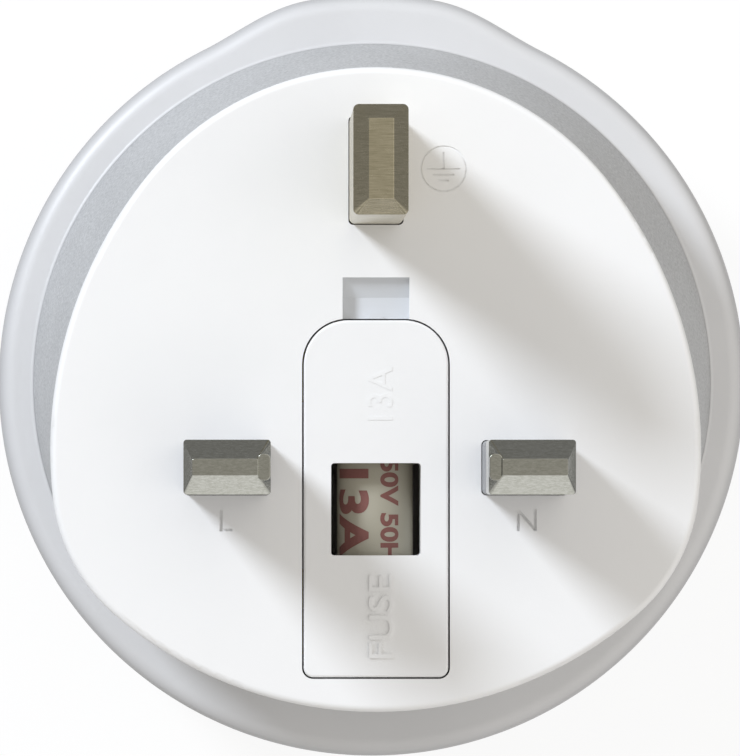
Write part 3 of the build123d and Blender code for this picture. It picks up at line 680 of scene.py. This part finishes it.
# even, clean white of the plug face and the fuse carrier, and the same plastic polished in the notch, greyed
# and blued there as painted shade of the recess
faceAbs = plasticMaterial("mouldedAbs", "#F3F3F3", 0.48, 1.4, 0.04, "#F1F1F1")
polishedShadedAbs = plasticMaterial("polishedShadedAbs", "#D6D9DD", 0.2, 1.4, 0.02, "#D2D5D9")
# duller whites of the hidden parts: socket insert, chalky contact block and shutter
insertPolyamide = plasticMaterial("insertPolyamide", "#E8E8E6", 0.45, 1.2, 0.08, "#E4E4E2")
blockUrea = plasticMaterial("contactBlockUrea", "#E3E1DB", 0.5, 0.9, 0.12, "#DDDBD4")
shutterPolyamide = plasticMaterial("shutterPolyamide", "#DDDDDB", 0.4, 1.0, 0.08, "#D8D8D6")
# mid-grey insulating sleeves at the feet of the live pins
sleevePolyamide = plasticMaterial("sleevePolyamide", "#8E9094", 0.42, 0.8, 0.1, "#888A8E")
# bright nickel of the live pins, and the warmer earth pin brushed across its length
nickelPlate = metalMaterial("nickelPlate", "#BBBBB4", "#A9A9A0", 0.17, (0.35, 0.12, 0.35), 0.3, 0.15)
earthNickel = metalMaterial("brushedNickelPlate", "#CCC3AA", "#ADA58B", 0.24, (1.5, 0.05, 1.5), 0.4, 0.3)
# yellow strip of the contacts, grey wire of the spring, and the fuse's bright end caps
rolledBrass = metalMaterial("rolledBrass", "#D2AE64", "#B8924A", 0.28, (0.2, 1.5, 0.2), 0.5, 0.2)
springSteel = metalMaterial("springSteel", "#A5A6A8", "#8A8B8D", 0.25, (0.3, 0.3, 0.3), 0.3, 0.2)
capNickel = metalMaterial("fuseCapNickel", "#C8C7C2", "#B0AFA9", 0.22, (0.3, 0.9, 0.3), 0.4, 0.2)
# matt tube of the fuse, its stone colour darkened by painted shade, and its worn red-brown print
shadedSteatite = plasticMaterial("shadedSteatiteCeramic", "#ACA797", 0.6, 0.35, 0.2, "#A09B8B")
fuseInk = plasticMaterial("fuseInk", "#80504A", 0.6, 0.2, 0.1, "#74463F", 0.5)

nodeMaterials = {
    "rear_cover": faceAbs, "fuse_carrier": faceAbs, "socket_cup": insertPolyamide, "contact_block": blockUrea,
    "shutter_slider": shutterPolyamide, "line_pin_sleeve": sleevePolyamide,
    "neutral_pin_sleeve": sleevePolyamide, "line_contact": rolledBrass, "neutral_contact": rolledBrass,
    "line_busbar": rolledBrass, "fused_busbar": rolledBrass, "neutral_busbar": rolledBrass,
    "earth_strap": rolledBrass, "fuse_clip_lower": rolledBrass, "fuse_clip_upper": rolledBrass,
    "fuse_tube": shadedSteatite, "fuse_cap_lower": capNickel, "fuse_cap_upper": capNickel,
    "outer_shell": satinPolycarbonate, "neck_collar": erodedPolycarbonate, "line_pin": nickelPlate,
    "neutral_pin": nickelPlate, "earth_pin": earthNickel, "shutter_spring": springSteel,
}
for nodeName, nodeMaterial in nodeMaterials.items():
    nodes[nodeName].data.materials.clear()
    nodes[nodeName].data.materials.append(nodeMaterial)
print("materials made for", len(nodeMaterials), "parts")

shellSkin(satinPolycarbonate)
collarSkin(erodedPolycarbonate)
print("shell and collar made")
livePin("linePinSkin", -1, nickelPlate, "line_pin")
livePin("neutralPinSkin", 1, nickelPlate, "neutral_pin")
tipStub("linePinStub", -1, nickelPlate)
tipStub("neutralPinStub", 1, nickelPlate)
earthPin(earthNickel)
print("pins made")
shutterSpring(springSteel)
engravedFace(faceAbs, polishedShadedAbs)
raisedLetters("markRating", faceAbs)
raisedLetters("markFuse", faceAbs)
fusePrint("fusePrintRating", fuseInk)
fusePrint("fusePrintVoltage", fuseInk)
print("spring, marks and print made")

# Floor: pale, but white to the camera and in reflections with a share of the object's soft shadow kept,
# and clear from below
floorSizes = {"radius": 66.0, "sides": 96, "drop": 0.02, "shade": "#B9B9B9", "shadowShare": 0.12}


def makeFloor():
    s = floorSizes
    material, tree = newMaterial("paleFloor")
    ray = addNode(tree, "ShaderNodeLightPath")
    seen = addNode(tree, "ShaderNodeMath", {"operation": "MAXIMUM"},
                   {0: ray.outputs["Is Camera Ray"], 1: ray.outputs["Is Glossy Ray"]})
    seen = addNode(tree, "ShaderNodeMath", {"operation": "MAXIMUM"},
                   {0: seen.outputs[0], 1: ray.outputs["Is Transmission Ray"]})
    base = addNode(tree, "ShaderNodeBsdfDiffuse", {"Color": linearColour(s["shade"])})
    pale = addNode(tree, "ShaderNodeBsdfDiffuse", {"Color": linearColour("#FFFFFF")})
    glow = addNode(tree, "ShaderNodeEmission", {"Color": (1, 1, 1, 1), "Strength": 1.0})
    white = addNode(tree, "ShaderNodeMixShader", {0: s["shadowShare"]},
                    {1: glow.outputs[0], 2: pale.outputs[0]})
    both = addNode(tree, "ShaderNodeMixShader",
                   links={0: seen.outputs[0], 1: base.outputs[0], 2: white.outputs[0]})
    side = addNode(tree, "ShaderNodeNewGeometry")
    clear = addNode(tree, "ShaderNodeBsdfTransparent")
    whole = addNode(tree, "ShaderNodeMixShader",
                    links={0: side.outputs["Backfacing"], 1: both.outputs[0], 2: clear.outputs[0]})
    addNode(tree, "ShaderNodeOutputMaterial", links={"Surface": whole.outputs[0]})
    turn = np.linspace(0, 2 * np.pi, s["sides"], endpoint=False)
    points = mm(np.stack([s["radius"] * np.cos(turn), s["radius"] * np.sin(turn), 0 * turn - s["drop"]], -1))
    mesh = bpy.data.meshes.new("paleFloor")
    mesh.from_pydata(points.tolist(), [], [list(range(len(points)))])
    mesh.materials.append(material)
    floor = linkObject("paleFloor", mesh)


makeFloor()

# Light: a soft key from the upper left, a pale sky brighter towards +X, and dim surroundings below it that are
# brighter towards -Y near the horizon
lightSizes = {
    "keyDirection": (-0.74, 0.67, 0.75), "keyDistance": 900.0, "keySize": 230.0, "keyPower": 6.2,
    "keyColour": "#EEF5FF",
    # colours from straight below, at 0, to straight above, at 1
    "sky": [(0.0, "#A5A5A5"), (0.47, "#A5A5A5"), (0.56, "#D8D6D2"), (0.68, "#FFFCF8"), (0.93, "#FFFCF8"),
            (0.985, "#D1CEC6"), (1.0, "#D1CEC6")],
    "skyStrength": 0.74, "skyLean": (0.65, 0.0), "lowLean": (0.0, -3.2),
    "lowFade": (-0.42, -0.25), "horizon": (-0.06, 0.06),  # Z over which the low lean and the sky's come in
}


def makeLight():
    # the colour goes by height; a lean makes the light stronger towards one side, as one plus the lean
    # times X and Y, and the low lean only ever adds light
    s = lightSizes
    world = bpy.data.worlds.new("studio")
    bpy.context.scene.world = world
    world.use_nodes = True
    tree = world.node_tree
    tree.nodes.clear()
    place = addNode(tree, "ShaderNodeTexCoord")
    parts = addNode(tree, "ShaderNodeSeparateXYZ", links={0: place.outputs["Generated"]})
    height = addNode(tree, "ShaderNodeMapRange", {"From Min": -1.0, "From Max": 1.0},
                     {"Value": parts.outputs["Z"]})
    ramp = addNode(tree, "ShaderNodeValToRGB", links={0: height.outputs[0]})
    while len(ramp.color_ramp.elements) < len(s["sky"]):
        ramp.color_ramp.elements.new(0.5)
    for element, (at, hexText) in zip(ramp.color_ramp.elements, s["sky"]):
        element.position = at
        element.color = linearColour(hexText)
    leans = []
    for leanX, leanY in (s["lowLean"], s["skyLean"]):
        alongX = addNode(tree, "ShaderNodeMath", {"operation": "MULTIPLY_ADD", 1: leanX, 2: 1.0},
                         {0: parts.outputs["X"]})
        leans.append(addNode(tree, "ShaderNodeMath", {"operation": "MULTIPLY_ADD", 1: leanY},
                             {0: parts.outputs["Y"], 2: alongX.outputs[0]}))
    lowLean, skyLean = leans
    near, above = (addNode(tree, "ShaderNodeMapRange", {"From Min": low, "From Max": high},
                           {"Value": parts.outputs["Z"]}) for low, high in (s["lowFade"], s["horizon"]))
    lowLean = addNode(tree, "ShaderNodeMath", {"operation": "MAXIMUM", 1: 1.0}, {0: lowLean.outputs[0]})
    lowLean = addNode(tree, "ShaderNodeMix", {2: 1.0}, {0: near.outputs[0], 3: lowLean.outputs[0]})
    chosen = addNode(tree, "ShaderNodeMix",
                     links={0: above.outputs[0], 2: lowLean.outputs[0], 3: skyLean.outputs[0]})
    power = addNode(tree, "ShaderNodeMath", {"operation": "MULTIPLY", 1: s["skyStrength"]},
                    {0: chosen.outputs[0]})
    shine = addNode(tree, "ShaderNodeBackground",
                    links={"Color": ramp.outputs[0], "Strength": power.outputs[0]})
    white = addNode(tree, "ShaderNodeBackground", {"Color": (1, 1, 1, 1), "Strength": 1.0})
    ray = addNode(tree, "ShaderNodeLightPath")
    both = addNode(tree, "ShaderNodeMixShader",
                   links={0: ray.outputs["Is Camera Ray"], 1: shine.outputs[0], 2: white.outputs[0]})
    addNode(tree, "ShaderNodeOutputWorld", links={"Surface": both.outputs[0]})
    key = bpy.data.lights.new("keyPanel", "AREA")
    key.shape = "DISK"
    key.size = float(mm(s["keySize"]))
    key.energy = s["keyPower"]
    key.color = linearColour(s["keyColour"])[:3]
    lamp = linkObject("keyPanel", key)
    direction = Vector(s["keyDirection"]).normalized()
    lamp.location = direction * s["keyDistance"] * 0.001
    lamp.rotation_euler = direction.to_track_quat("Z", "Y").to_euler()


makeLight()
print("floor and light made")

# Camera: a long lens high above the plug face, a little left of and below its middle, with +Y upwards
cameraSizes = {
    "place": (-10.55, -8.3, 657.0), "target": (-0.45, 0.1, 42.0), "focal": 392.4, "sensor": 36.0,
    "clip": (0.01, 10.0),  # metres
}


def makeCamera():
    s = cameraSizes
    data = bpy.data.cameras.new("photoCamera")
    data.lens = s["focal"]
    data.sensor_width = s["sensor"]
    data.clip_start, data.clip_end = s["clip"]
    camera = linkObject("photoCamera", data)
    place, target = Vector(s["place"]) * 0.001, Vector(s["target"]) * 0.001
    back = (place - target).normalized()
    right = Vector((0, 1, 0)).cross(back).normalized()
    up = back.cross(right)
    camera.matrix_world = Matrix.Translation(place) @ Matrix((right, up, back)).transposed().to_4x4()
    bpy.context.scene.camera = camera


makeCamera()
bpy.context.scene.view_settings.view_transform = "Standard"
